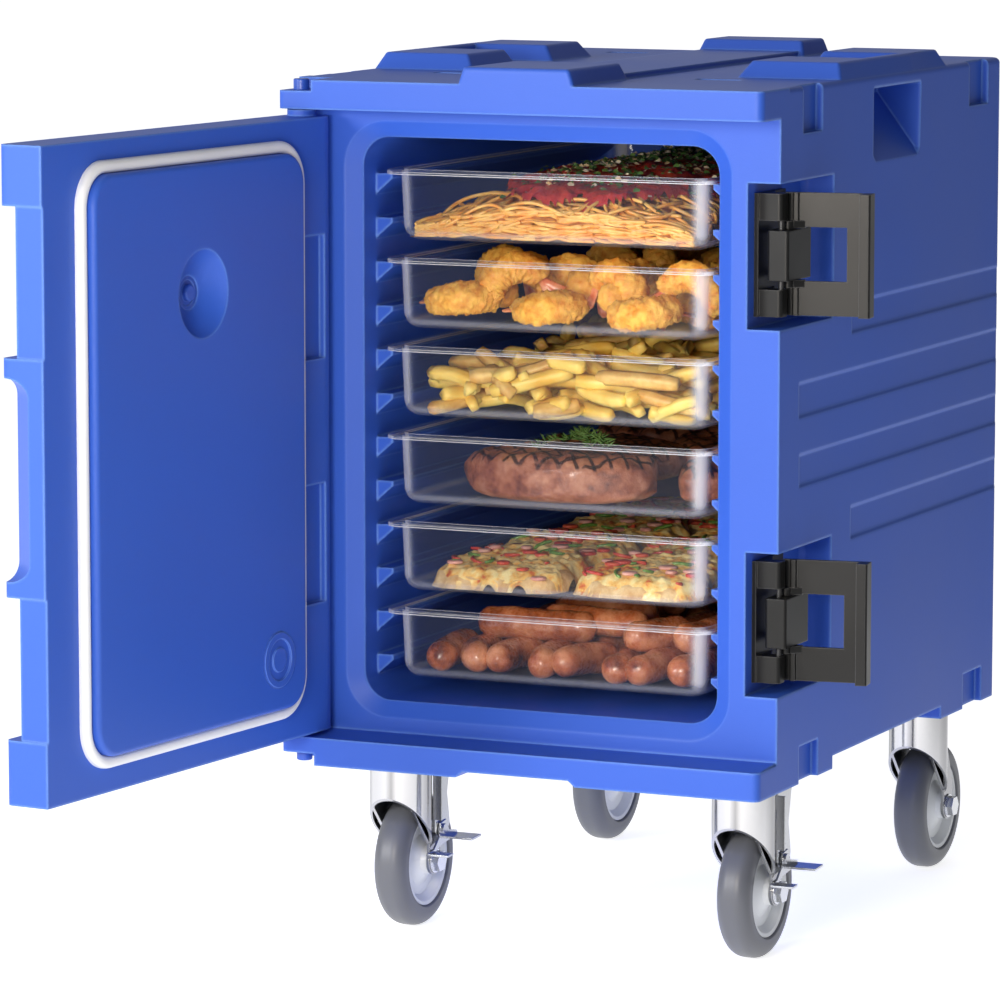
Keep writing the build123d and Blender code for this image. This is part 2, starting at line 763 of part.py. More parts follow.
def brake_bracket(x, y):
    """The folded steel housing behind the tube, with the lever's rivet."""
    outline = [
        (23, -21),
        (46, -21),
        (58, -29),
        (50, -62),
        (56, -92),
        (46, -101),
        (30, -101),
        (24, -96),
    ]
    py, pz = PEDAL_PIVOT
    bracket = prism_x(22.1, 24.1, outline) + prism_x(-24.1, -22.1, outline)
    bracket += block(-23.5, 23.5, 30, 47, -23, -21)
    bracket += prism_x(-23.5, 23.5, [(46, -21), (58, -29), (57.4, -30.8), (45, -23)])
    bracket += block(22.1, 31, 23, 25, -84, -34)
    bracket += rod_x(24, 27.6, py, pz, PEDAL_PIN_R) + rod_x(27.1, 29, py, pz, 4.8)
    return Pos(x, y, 0) * bracket


def brake_pedal(x, y):
    """The foot lever on the outer side, with a tab at each end."""
    py, pz = PEDAL_PIVOT
    lever = prism_x(
        25,
        27,
        [
            (2, -112),
            (16, -110.5),
            (27, -101),
            (30, -88),
            (42, -86),
            (48, -97),
            (66, -100.5),
            (66, -105.5),
            (46, -107),
            (30, -109),
            (16, -114.5),
            (2, -114.5),
        ],
    )
    lever += prism_x(26, 52, [(46, -103.5), (66, -102.5), (66, -104.5), (46, -105.5)])
    lever += prism_x(26, 47, [(2, -112.5), (15, -112), (15, -114), (2, -114.5)])
    lever -= rod_x(24, 28, py, pz, PEDAL_PIN_R + RUN_FIT)
    return Pos(x, y, 0) * lever


# --------------------------------------------------------------------------

os.makedirs("parts", exist_ok=True)

cabinet_core = cabinet_foam()
save("cabinet_shell", cabinet_shell(cabinet_core))
save("cabinet_foam", cabinet_core)
save("hinge_pin_top", hinge_pin(603.0, DOOR_Z1 - 36, 1))
save("hinge_pin_bottom", hinge_pin(-1.0, DOOR_Z0 + 36, -1))

door_core = door_foam()
save("door_shell", swing_open(door_shell(door_core)))
save("door_foam", swing_open(door_core))
save("door_gasket", swing_open(door_gasket()))
save("door_vent_plug", swing_open(vent_plug()))
save("door_fill_plug", swing_open(fill_plug()))

for number in range(PAN_COUNT):
    save(f"pan_{number + 1}", pan(2 * number))

for label, height in zip(("upper", "lower"), LATCH_Z):
    save(f"latch_{label}_base", latch_base(height))
    save(f"latch_{label}_screws", latch_screws(height))
    save(f"latch_{label}_handle", latch_handle(height))
    save(f"latch_{label}_hook", latch_hook(height))
    save(
        f"latch_{label}_anchor_pin",
        rod_z(*ANCHOR, height - LATCH_SPAN, height + LATCH_SPAN, LATCH_PIN_R),
    )
    save(f"latch_{label}_swing_pin", rod_z(*SWING, height - 29.5, height + 29.5, LATCH_PIN_R))

for corner, (cx, cy) in CASTERS.items():
    save(f"caster_{corner}_mount", caster_mount(cx, cy))
    save(f"caster_{corner}_bolts", caster_bolts(cx, cy))
    save(f"caster_{corner}_fork", caster_fork(cx, cy))
    save(f"caster_{corner}_axle", caster_axle(cx, cy))
    save(f"caster_{corner}_hub", caster_hub(cx, cy))
    save(f"caster_{corner}_tyre", caster_tyre(cx, cy))
    if corner in BRAKED:
        save(f"caster_{corner}_brake_bracket", brake_bracket(cx, cy))
        save(f"caster_{corner}_brake_pedal", brake_pedal(cx, cy))
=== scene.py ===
import json
import math

import bpy
import numpy as np
from mathutils import Matrix, Vector, noise


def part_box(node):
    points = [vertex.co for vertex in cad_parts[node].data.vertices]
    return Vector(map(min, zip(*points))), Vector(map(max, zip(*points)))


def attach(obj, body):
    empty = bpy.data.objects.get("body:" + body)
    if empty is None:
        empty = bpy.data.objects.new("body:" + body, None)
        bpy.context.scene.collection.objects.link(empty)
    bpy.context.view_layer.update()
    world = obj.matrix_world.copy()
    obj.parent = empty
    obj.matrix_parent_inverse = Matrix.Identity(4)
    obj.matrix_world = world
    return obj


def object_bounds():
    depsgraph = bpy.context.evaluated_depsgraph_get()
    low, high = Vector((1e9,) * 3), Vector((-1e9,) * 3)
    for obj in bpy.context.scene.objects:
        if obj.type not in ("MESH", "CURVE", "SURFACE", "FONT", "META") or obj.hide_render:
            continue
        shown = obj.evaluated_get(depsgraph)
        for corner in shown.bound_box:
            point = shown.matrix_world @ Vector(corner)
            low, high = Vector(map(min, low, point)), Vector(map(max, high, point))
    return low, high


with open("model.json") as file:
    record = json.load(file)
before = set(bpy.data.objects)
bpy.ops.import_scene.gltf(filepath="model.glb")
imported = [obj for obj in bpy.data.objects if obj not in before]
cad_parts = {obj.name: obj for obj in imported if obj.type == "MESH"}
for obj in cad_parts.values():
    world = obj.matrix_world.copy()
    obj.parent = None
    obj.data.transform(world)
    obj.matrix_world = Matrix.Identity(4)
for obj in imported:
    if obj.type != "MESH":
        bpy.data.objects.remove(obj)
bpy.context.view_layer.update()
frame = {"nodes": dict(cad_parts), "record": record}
nodes = frame["nodes"]

# Colours are linear; lengths are metres.
BLUE = (0.031, 0.104, 0.53, 1)
BLUE_DEEP = (0.026, 0.086, 0.45, 1)
# The next two colours are painted highlights, mixed into the base colour along edges at the strength below.
BLUE_EDGE_HIGHLIGHT = (0.22, 0.42, 0.95, 1)
BLACK_EDGE_HIGHLIGHT = (0.16, 0.16, 0.16, 1)
EDGE_HIGHLIGHT_STRENGTH = 0.62

# The room for food in a pan, measured from the pan's own box.
PAN_HALF_WIDE = 0.142
PAN_END_INSET = 0.016
PAN_FLOOR_THICK = 0.0028

# The camera, fitted to the photograph.
CAMERA_PLACE = (1.9857, -4.6949, 0.8903)
CAMERA_DOWN_DEG = 7.656
CAMERA_TURN_DEG = 24.544
CAMERA_LENS = 196.0

# The floor's glow fades along this direction, from this distance to that one.
GLOW_ACROSS = (0.944, 0.330, 0.0)
GLOW_FROM = 0.42
GLOW_TO = 1.7


# --------------------------------------------------------------------------
# Materials

def new_material(name):
    """An empty node material: itself, its tree, its shader and its object-space position."""
    m = bpy.data.materials.new(name)
    m.use_nodes = True
    shader = m.node_tree.nodes["Principled BSDF"]
    coords = m.node_tree.nodes.new("ShaderNodeTexCoord")
    return m, m.node_tree, shader, coords.outputs["Object"]


def noise_node(tree, coords, scale, detail=3.0, rough=0.5):
    n = tree.nodes.new("ShaderNodeTexNoise")
    n.inputs["Scale"].default_value = scale
    n.inputs["Detail"].default_value = detail
    n.inputs["Roughness"].default_value = rough
    tree.links.new(coords, n.inputs["Vector"])
    return n.outputs["Fac"]


def ramp_node(tree, fac, stops):
    r = tree.nodes.new("ShaderNodeValToRGB")
    ramp = r.color_ramp
    ramp.elements[0].position, ramp.elements[0].color = stops[0]
    ramp.elements[1].position, ramp.elements[1].color = stops[-1]
    for place, colour in stops[1:-1]:
        ramp.elements.new(place).color = colour
    tree.links.new(fac, r.inputs["Fac"])
    return r.outputs["Color"]


def range_node(tree, fac, low, high):
    m = tree.nodes.new("ShaderNodeMapRange")
    m.inputs["From Min"].default_value = 0.3
    m.inputs["From Max"].default_value = 0.7
    m.inputs["To Min"].default_value = low
    m.inputs["To Max"].default_value = high
    tree.links.new(fac, m.inputs["Value"])
    return m.outputs["Result"]


def bump_node(tree, height, strength, distance, bevel=0.0):
    b = tree.nodes.new("ShaderNodeBump")
    b.inputs["Strength"].default_value = strength
    b.inputs["Distance"].default_value = distance
    tree.links.new(height, b.inputs["Height"])
    if bevel:
        edge = tree.nodes.new("ShaderNodeBevel")
        edge.samples = 4
        edge.inputs["Radius"].default_value = bevel
        tree.links.new(edge.outputs["Normal"], b.inputs["Normal"])
    return b.outputs["Normal"]


def edge_mask(tree, radius, low, high):
    """1 where the bevelled normal turns away, so along edges, and 0 on flats."""
    edge = tree.nodes.new("ShaderNodeBevel")
    edge.samples = 6
    edge.inputs["Radius"].default_value = radius
    match = tree.nodes.new("ShaderNodeVectorMath")
    match.operation = "DOT_PRODUCT"
    tree.links.new(edge.outputs["Normal"], match.inputs[0])
    tree.links.new(tree.nodes.new("ShaderNodeNewGeometry").outputs["Normal"], match.inputs[1])
    mask = tree.nodes.new("ShaderNodeMapRange")
    mask.inputs["From Min"].default_value = high
    mask.inputs["From Max"].default_value = low
    tree.links.new(match.outputs["Value"], mask.inputs["Value"])
    return mask.outputs["Result"]


def mix_colour(tree, factor, a, b, blend="MIX"):
    mix = tree.nodes.new("ShaderNodeMix")
    mix.data_type = "RGBA"
    mix.blend_type = blend
    for value, socket in ((factor, mix.inputs[0]), (a, mix.inputs["A"]), (b, mix.inputs["B"])):
        if isinstance(value, (float, tuple)):
            socket.default_value = value
        else:
            tree.links.new(value, socket)
    return mix.outputs["Result"]


def scaled(colour, k):
    return tuple(min(1.0, c * k) for c in colour[:3]) + (1,)


def surface(
    name,
    colour,
    rough,
    spread=0.1,
    mottle=6.0,
    grain=900.0,
    grain_depth=0.0001,
    grain_strength=0.3,
    bevel=0.0,
    metal=0.0,
    coat=0.0,
    specular=0.5,
    scatter=0.0,
    edge=None,
):
    """A surface whose colour, gloss and relief vary with noise, with painted highlights along its edges if
    asked.
    """
    m, tree, shader, coords = new_material(name)
    broad = noise_node(tree, coords, mottle)
    tint = ramp_node(tree, broad, [(0.3, scaled(colour, 1 - spread)), (0.7, scaled(colour, 1 + spread))])
    # Painted highlight: along edges the colour is mixed towards a paler one, as if the edges caught the
    # light.
    if edge:
        edge_highlight = tree.nodes.new("ShaderNodeMath")
        edge_highlight.operation = "MULTIPLY"
        edge_highlight.inputs[1].default_value = EDGE_HIGHLIGHT_STRENGTH
        tree.links.new(edge_mask(tree, bevel, 0.80, 0.995), edge_highlight.inputs[0])
        tint = mix_colour(tree, edge_highlight.outputs["Value"], tint, edge)
    tree.links.new(tint, shader.inputs["Base Color"])
    fine = noise_node(tree, coords, grain, 2.0, 0.6)
    tree.links.new(range_node(tree, broad, rough * 0.9, min(1.0, rough * 1.12)), shader.inputs["Roughness"])
    tree.links.new(bump_node(tree, fine, grain_strength, grain_depth, bevel), shader.inputs["Normal"])
    shader.inputs["Metallic"].default_value = metal
    shader.inputs["Coat Weight"].default_value = coat
    shader.inputs["Specular IOR Level"].default_value = specular
    if scatter:
        shader.inputs["Subsurface Weight"].default_value = scatter
        shader.inputs["Subsurface Radius"].default_value = (0.004, 0.002, 0.001)
        shader.inputs["Subsurface Scale"].default_value = 1.0
    return m


def clear_plastic(name):
    """Clear polycarbonate, nearly invisible on its flats.

    Painted highlights on the rim, the corners and the lower edges are worked out from the surface's
    direction.
    """
    m, tree, shader, coords = new_material(name)
    turned = tree.nodes.new("ShaderNodeSeparateXYZ")
    tree.links.new(coords.node.outputs["Normal"], turned.inputs["Vector"])

    def maths(operation, a, b):
        n = tree.nodes.new("ShaderNodeMath")
        n.operation = operation
        for value, socket in zip((a, b), n.inputs):
            if isinstance(value, float):
                socket.default_value = value
            else:
                tree.links.new(value, socket)
        return n.outputs["Value"]

    # Painted highlights: a pale band where an upright wall turns round a corner, a fainter one where the
    # floor curves up, and pale edges along the rim; they also raise the opacity.
    upright = maths("ABSOLUTE", maths("MULTIPLY", turned.outputs["X"], turned.outputs["Y"]), 0.0)
    corner = maths("POWER", maths("MULTIPLY", upright, 2.0), 3.0)
    flat = maths("MULTIPLY", turned.outputs["Z"], turned.outputs["Z"])
    lower = maths("POWER", maths("MULTIPLY", maths("MULTIPLY", flat, maths("SUBTRACT", 1.0, flat)), 4.0), 4.0)
    curve_highlight = maths("ADD", maths("MULTIPLY", corner, 0.55), maths("MULTIPLY", lower, 0.22))
    rim = maths("MAXIMUM", curve_highlight, edge_mask(tree, 0.0016, 0.80, 0.97))
    tints = [(0.0, (0.42, 0.48, 0.62, 1)), (0.4, (0.97, 0.98, 1.0, 1)), (1.0, (1, 1, 1, 1))]
    tint = ramp_node(tree, rim, tints)
    tree.links.new(tint, shader.inputs["Base Color"])
    haze = noise_node(tree, coords, 25.0)
    tree.links.new(range_node(tree, haze, 0.04, 0.09), shader.inputs["Roughness"])
    facing = tree.nodes.new("ShaderNodeLayerWeight")
    facing.inputs["Blend"].default_value = 0.35
    sheen = tree.nodes.new("ShaderNodeMapRange")
    sheen.inputs["From Min"].default_value = 0.45
    sheen.inputs["From Max"].default_value = 1.0
    sheen.inputs["To Min"].default_value = 0.02
    sheen.inputs["To Max"].default_value = 0.34
    tree.links.new(facing.outputs["Facing"], sheen.inputs["Value"])
    alpha = tree.nodes.new("ShaderNodeMath")
    alpha.operation = "MULTIPLY_ADD"
    alpha.inputs[1].default_value = 0.75
    alpha.use_clamp = True
    tree.links.new(rim, alpha.inputs[0])
    tree.links.new(sheen.outputs["Result"], alpha.inputs[2])
    tree.links.new(alpha.outputs["Value"], shader.inputs["Alpha"])
    return m


def chrome(name):
    """Polished chrome, with dark bands painted by direction to look like reflected studio flags."""
    m, tree, shader, coords = new_material(name)
    parts = tree.nodes.new("ShaderNodeSeparateXYZ")
    tree.links.new(coords.node.outputs["Normal"], parts.inputs["Vector"])
    turn = tree.nodes.new("ShaderNodeMath")
    turn.operation = "ARCTAN2"
    tree.links.new(parts.outputs["Y"], turn.inputs[0])
    tree.links.new(parts.outputs["X"], turn.inputs[1])
    place = tree.nodes.new("ShaderNodeMapRange")
    place.inputs["From Min"].default_value = -math.pi
    place.inputs["From Max"].default_value = math.pi
    tree.links.new(turn.outputs["Value"], place.inputs["Value"])
    light = (0.64, 0.64, 0.65, 1)
    mid = (0.34, 0.34, 0.35, 1)
    dark = (0.16, 0.16, 0.165, 1)
    stops = [
        (0.0, mid),
        (0.09, dark),
        (0.14, light),
        (0.235, light),
        (0.27, mid),
        (0.30, light),
        (0.43, light),
        (0.50, mid),
        (0.57, dark),
        (0.65, light),
        (0.75, mid),
        (0.85, light),
        (1.0, mid),
    ]
    tree.links.new(ramp_node(tree, place.outputs["Result"], stops), shader.inputs["Base Color"])
    fine = noise_node(tree, coords, 300.0, 2.0, 0.6)
    tree.links.new(range_node(tree, fine, 0.10, 0.16), shader.inputs["Roughness"])
    tree.links.new(bump_node(tree, fine, 0.2, 0.00002, 0.001), shader.inputs["Normal"])
    shader.inputs["Metallic"].default_value = 1.0
    return m


MATERIALS = {
    # The blue parts and the black latch get painted highlights along their edges.
    "cabinet_blue": surface(
        "cabinet_blue", BLUE, 0.44, 0.05, 3, 620, 0.00022, 0.35, bevel=0.0042, specular=0.34, edge=BLUE_EDGE_HIGHLIGHT
    ),
    "door_blue": surface(
        "door_blue", BLUE, 0.44, 0.05, 3, 620, 0.00022, 0.35, bevel=0.0042, specular=0.34, edge=BLUE_EDGE_HIGHLIGHT
    ),
    "foam": surface("foam", (0.78, 0.69, 0.48, 1), 0.9, 0.12, 30, 500),
    "pin_blue": surface("pin_blue", BLUE_DEEP, 0.35, 0.06, 20, 700, bevel=0.001),
    "gasket": surface("gasket", (0.78, 0.80, 0.83, 1), 0.45, 0.04, 8, 400, bevel=0.001),
    "plug_blue": surface("plug_blue", BLUE, 0.42, 0.05, 6, 620, 0.0002, bevel=0.0015, edge=BLUE_EDGE_HIGHLIGHT),
    "clear_pan": clear_plastic("clear_pan"),
    "latch_steel": surface("latch_steel", (0.05, 0.05, 0.052, 1), 0.35, 0.1, 40, 900, metal=0.6),
    "latch_black": surface(
        "latch_black",
        (0.008, 0.008, 0.008, 1),
        0.34,
        0.2,
        12,
        800,
        bevel=0.0014,
        specular=0.28,
        edge=BLACK_EDGE_HIGHLIGHT,
    ),
    "tyre_grey": surface("tyre_grey", (0.115, 0.12, 0.135, 1), 0.40, 0.08, 10, 500, 0.00006),
    "hub_grey": surface("hub_grey", (0.70, 0.72, 0.73, 1), 0.35, 0.05, 10, 500, 0.00006, bevel=0.001),
    "fork_chrome": chrome("fork_chrome"),
    "brake_steel": surface(
        "brake_steel", (0.52, 0.53, 0.55, 1), 0.22, 0.06, 20, 400, 0.00005, bevel=0.0007, metal=1.0
    ),
    "zinc_steel": surface(
        "zinc_steel", (0.68, 0.69, 0.71, 1), 0.25, 0.08, 20, 400, 0.00005, bevel=0.0007, metal=1.0
    ),
}


def shade_cad():
    """Give every CAD node its record slot's material."""
    for part in frame["record"]["subparts"]:
        mesh = nodes[part["node"]].data
        mesh.materials.clear()
        mesh.materials.append(MATERIALS[part["material_slot"]])


# --------------------------------------------------------------------------
# Mesh helpers

class Shape:
    """Collects vertices, faces and material indices for one mesh."""

    def __init__(self):
        self.verts = []
        self.faces = []
        self.slots = []

    def add(self, verts, faces, slot=0):
        base = len(self.verts)
        self.verts.extend(tuple(v) for v in verts)
        self.faces.extend(tuple(base + i for i in f) for f in faces)
        self.slots.extend([slot] * len(faces))

    def build(self, name, materials, body):
        mesh = bpy.data.meshes.new(name)
        mesh.from_pydata(self.verts, [], self.faces)
        for m in materials:
            mesh.materials.append(m)
        mesh.polygons.foreach_set("material_index", self.slots)
        mesh.polygons.foreach_set("use_smooth", [True] * len(self.faces))
        mesh.update()
        thing = bpy.data.objects.new(name, mesh)
        bpy.context.scene.collection.objects.link(thing)
        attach(thing, body)
        return thing


def tube(path, radii, sides, flat=1.0):
    """A closed tube about a path, with a radius at each point."""
    path = [Vector(p) for p in path]
    verts = []
    faces = []
    up = Vector((0.13, 0.21, 0.97))
    count = len(path)
    for i, p in enumerate(path):
        ahead = (path[min(i + 1, count - 1)] - path[max(i - 1, 0)]).normalized()
        side = ahead.cross(up)
        side = side.normalized() if side.length > 1e-4 else Vector((1, 0, 0))
        up = side.cross(ahead).normalized()
        for k in range(sides):
            a = 2 * math.pi * k / sides
            verts.append(p + side * (math.cos(a) * radii[i]) + up * (math.sin(a) * radii[i] * flat))
    for i in range(count - 1):
        for k in range(sides):
            a = i * sides + k
            b = i * sides + (k + 1) % sides
            faces.append((a, b, b + sides, a + sides))
    faces.append(tuple(reversed(range(sides))))
    faces.append(tuple(range((count - 1) * sides, count * sides)))
    return verts, faces


def bumped(verts, centre, size, amount, seed):
    """Vertices pushed out from a centre by smooth noise."""
    out = []
    for v in verts:
        away = (Vector(v) - Vector(centre)).normalized()
        shift = noise.fractal(Vector(v) * size + Vector((seed, 0, 0)), 0.8, 2.1, 3)
        out.append(Vector(v) + away * (shift * amount))
    return out


def mound(x0, x1, y0, y1, base, height, nx=60, ny=80):
    """An open sheet over a rectangle, at height(x, y) above base."""
    verts = []
    faces = []
    for j in range(ny + 1):
        for i in range(nx + 1):
            x = x0 + (x1 - x0) * i / nx
            y = y0 + (y1 - y0) * j / ny
            verts.append((x, y, base + max(0.0002, height(x, y))))
    for j in range(ny):
        for i in range(nx):
            a = j * (nx + 1) + i
            faces.append((a, a + 1, a + nx + 2, a + nx + 1))
    return verts, faces


def heap(x, y, half_x, y0, y1, power=4.0):
    """1 in the middle of a tray, falling to 0 at its sides."""
    u = abs(x) / half_x
    v = abs(2 * (y - y0) / (y1 - y0) - 1)
    return max(0.0, 1 - u**power) ** 0.6 * max(0.0, 1 - v ** (power * 2)) ** 0.5


def pan_inside(number):
    """The inside of a pan: half width, front, back, floor and rim height."""
    low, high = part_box(f"pan_{number}")
    return PAN_HALF_WIDE, low.y + PAN_END_INSET, high.y - PAN_END_INSET, low.z + PAN_FLOOR_THICK, high.z


# --------------------------------------------------------------------------
# The food that the pans are shown with

def food_material(name, stops, rough, mottle, grain, depth, coat=0.0, scatter=0.0, strength=0.8):
    """A food surface: a colour ramp over broad noise, with fine relief."""
    m, tree, shader, coords = new_material(name)
    broad = noise_node(tree, coords, mottle, 5.0, 0.6)
    tree.links.new(ramp_node(tree, broad, stops), shader.inputs["Base Color"])
    fine = noise_node(tree, coords, grain, 4.0, 0.65)
    tree.links.new(range_node(tree, fine, rough * 0.8, rough * 1.2), shader.inputs["Roughness"])
    tree.links.new(bump_node(tree, fine, strength, depth), shader.inputs["Normal"])
    shader.inputs["Coat Weight"].default_value = coat
    shader.inputs["Coat Roughness"].default_value = 0.15
    if scatter:
        shader.inputs["Subsurface Weight"].default_value = scatter
        shader.inputs["Subsurface Radius"].default_value = (0.006, 0.003, 0.001)
        shader.inputs["Subsurface Scale"].default_value = 1.0
    return m


def spaghetti():
    """A tangle of strands with sauce and chopped herbs on top."""
    rng = np.random.default_rng(11)
    half, y0, y1, floor, _ = pan_inside(1)
    shape = Shape()

    def height(x, y):
        bumps = 0.007 * noise.noise(Vector((x * 20, y * 20, 3)))
        return (0.047 + bumps) * heap(x, y, half * 0.99, y0 - 0.012, y1, 2.4)

    # A sheet under the strands in the darker pasta colour, as painted shade between them.
    verts, faces = mound(-half, half, y0, y1, floor, lambda x, y: height(x, y) - 0.004)
    shape.add(verts, faces, 0)
    for n in range(620):
        x = rng.uniform(-half * 0.95, half * 0.95)
        y = y0 + (y1 - y0) * rng.beta(0.75, 2.2)
        heading = rng.choice([0.0, math.pi]) + rng.normal(0, 0.45)
        turn = rng.normal(0, 0.05)
        layer = rng.uniform(0.10, 1.0)
        wave = rng.uniform(0.10, 0.22)
        swing = rng.uniform(0.001, 0.007)
        path = []
        for k in range(40):
            turn = turn * 0.96 + rng.normal(0, 0.02)
            heading += turn
            x += math.cos(heading) * 0.0034
            y += math.sin(heading) * 0.0030
            if abs(x) > half * 0.96 or not y0 + 0.002 < y < y1 - 0.002:
                heading += math.pi * 0.15
                x = min(max(x, -half * 0.96), half * 0.96)
                y = min(max(y, y0 + 0.002), y1 - 0.002)
            lift = swing * math.sin(k * wave + n)
            path.append((x, y, floor + 0.002 + max(0.0, height(x, y) * layer + lift)))
        shape.add(*tube(path, [0.00180] * len(path), 6), 1)

    def sauce(x, y):
        edge = noise.noise(Vector((x * 34, y * 34, 7))) * 0.5 + noise.noise(Vector((x * 90, y * 90, 1))) * 0.3
        body = 1 - (abs(x - 0.005) / 0.095) ** 2.4 - (abs(y - (y0 + y1) / 2) / 0.245) ** 6 + edge
        lumps = 0.0028 * noise.fractal(Vector((x * 120, y * 120, 5)), 0.8, 2.1, 4)
        return height(x, y) + 0.010 * max(0.0, min(1.0, body * 3)) + lumps

    verts, faces = mound(-0.115, 0.128, y0 + 0.008, y1 - 0.01, floor, sauce, 90, 130)
    proud = [z - floor - height(x, y) for x, y, z in verts]
    kept = [f for f in faces if min(proud[i] for i in f) > 0.0016]
    shape.add(verts, kept, 2)
    leaf = [(-1, -0.5, 0), (0, -0.7, 0.3), (1, -0.3, 0), (0.8, 0.5, 0.1), (-0.2, 0.8, 0.4), (-0.9, 0.4, 0)]
    for _ in range(1500):
        x = rng.normal(0.01, 0.034)
        y = y0 + 0.03 + (y1 - y0 - 0.06) * rng.random()
        if abs(x) > 0.11:
            continue
        z = floor + sauce(x, y) + rng.uniform(0.0, 0.003) + 0.006 * max(0.0, 1 - abs(x - 0.01) / 0.05)
        size = rng.uniform(0.0016, 0.0038)
        a = rng.uniform(0, 2 * math.pi)
        tilt = rng.uniform(-0.8, 0.8)
        spin = Matrix.Rotation(a, 3, "Z") @ Matrix.Rotation(tilt, 3, "X")
        verts = [Vector((x, y, z)) + spin @ (Vector(p) * size) for p in leaf]
        shape.add(verts, [tuple(range(6))], 3 if rng.random() < 0.72 else 4)
    shape.build(
        "food_spaghetti",
        [FOOD["pasta_shaded"], FOOD["pasta"], FOOD["sauce"], FOOD["herb"], FOOD["cheese"]],
        "pan_1_body",
    )


def prawn(shape, rng, place, turn, lean, size, upright=False):
    """One breaded prawn: a curled, crumbed body with a bare tail fan."""
    path = []
    radii = []
    steps = 64
    for k in range(steps):
        t = k / (steps - 1)
        a = math.radians(200 - 190 * t)
        r = 0.019 * (1 + 0.25 * t)
        path.append((math.cos(a) * r, math.sin(a) * r * 0.9, 0.002 * math.sin(t * 5)))
        belly = 0.55 + 0.75 * math.sin(math.pi * min(1, 0.15 + 0.72 * (1 - t)))
        radii.append(0.0102 * belly * min(1, 0.35 + t * 8))
    verts, faces = tube(path, radii, 40)
    lumps = []
    for i, v in enumerate(verts):
        centre = Vector(path[min(i // 40, steps - 1)])
        away = (v - centre).normalized()
        seed = Vector((place[0] * 900, place[1] * 900, 0))
        rough = noise.fractal(v * 420 + seed, 0.6, 2.2, 3) * 0.0022
        rough += noise.noise(v * 110 + seed) * 0.0016
        lumps.append(v + away * rough)
    spin = Matrix.Rotation(turn, 3, "Z") @ Matrix.Rotation(lean, 3, "X")
    if upright:
        stood = Matrix.Rotation(turn, 3, "Z") @ Matrix.Rotation(math.radians(90), 3, "X")
        spin = stood @ Matrix.Rotation(lean, 3, "Z")

    def put(p):
        return Vector(place) + spin @ (Vector(p) * size)

    shape.add([put(v) for v in lumps], faces, 0)
    end = Vector(path[-1])
    out = (end - Vector(path[-8])).normalized()
    side = Vector((-out.y, out.x, 0))
    for spread, long in ((-0.34, 0.021), (0.0, 0.024), (0.34, 0.021)):
        aim = (out + side * spread).normalized()
        line = [end + aim * long * 1.25 * f for f in (-0.1, 0.25, 0.55, 0.8, 1.0)]
        verts, faces = tube(line, [0.0036, 0.0034, 0.0042, 0.0048, 0.0016], 10, 0.35)
        shape.add([put(v) for v in verts], faces, 1)


def prawns():
    """Breaded prawns and round bites."""
    rng = np.random.default_rng(5)
    half, y0, y1, floor, _ = pan_inside(2)
    shape = Shape()
    front = [
        (-0.100, 0.030, 0.022, 3.3, 0.15, False),
        (-0.052, 0.036, 0.030, 0.3, 0.3, True),
        (-0.012, 0.026, 0.018, 3.4, 0.1, False),
        (0.046, 0.040, 0.027, 2.7, 0.4, True),
        (0.082, 0.028, 0.020, 3.2, -0.1, False),
        (0.120, 0.040, 0.028, 3.0, 0.2, True),
    ]
    for x, dy, dz, turn, lean, upright in front:
        prawn(shape, rng, (x, y0 + dy, floor + dz), turn, lean, 1.12, upright)
    for _ in range(26):
        x = rng.uniform(-0.115, 0.115)
        y = rng.uniform(y0 + 0.075, y1 - 0.03)
        upright = rng.random() < 0.4
        lift = 0.026 if upright else rng.choice([0.014, 0.030])
        prawn(shape, rng, (x, y, floor + lift), rng.uniform(0, 6.28), rng.uniform(-0.3, 0.3), 1.1, upright)
    bites = [
        (0.005, 0.06, 0.036, 0.0165),
        (0.048, 0.028, 0.030, 0.014),
        (-0.075, 0.06, 0.028, 0.014),
        (0.02, 0.12, 0.034, 0.015),
    ]
    for x, dy, dz, r in bites:
        rings = [(x, y0 + dy, floor + dz - r * math.cos(math.pi * k / 16)) for k in range(17)]
        radii = [max(0.0002, r * math.sin(math.pi * k / 16)) for k in range(17)]
        verts, faces = tube(rings, radii, 24)
        shape.add(bumped(verts, (x, y0 + dy, floor + dz), 190, 0.0022, x * 50), faces, 0)
    shape.build("food_prawns", [FOOD["crumb"], FOOD["prawn_tail"]], "pan_2_body")


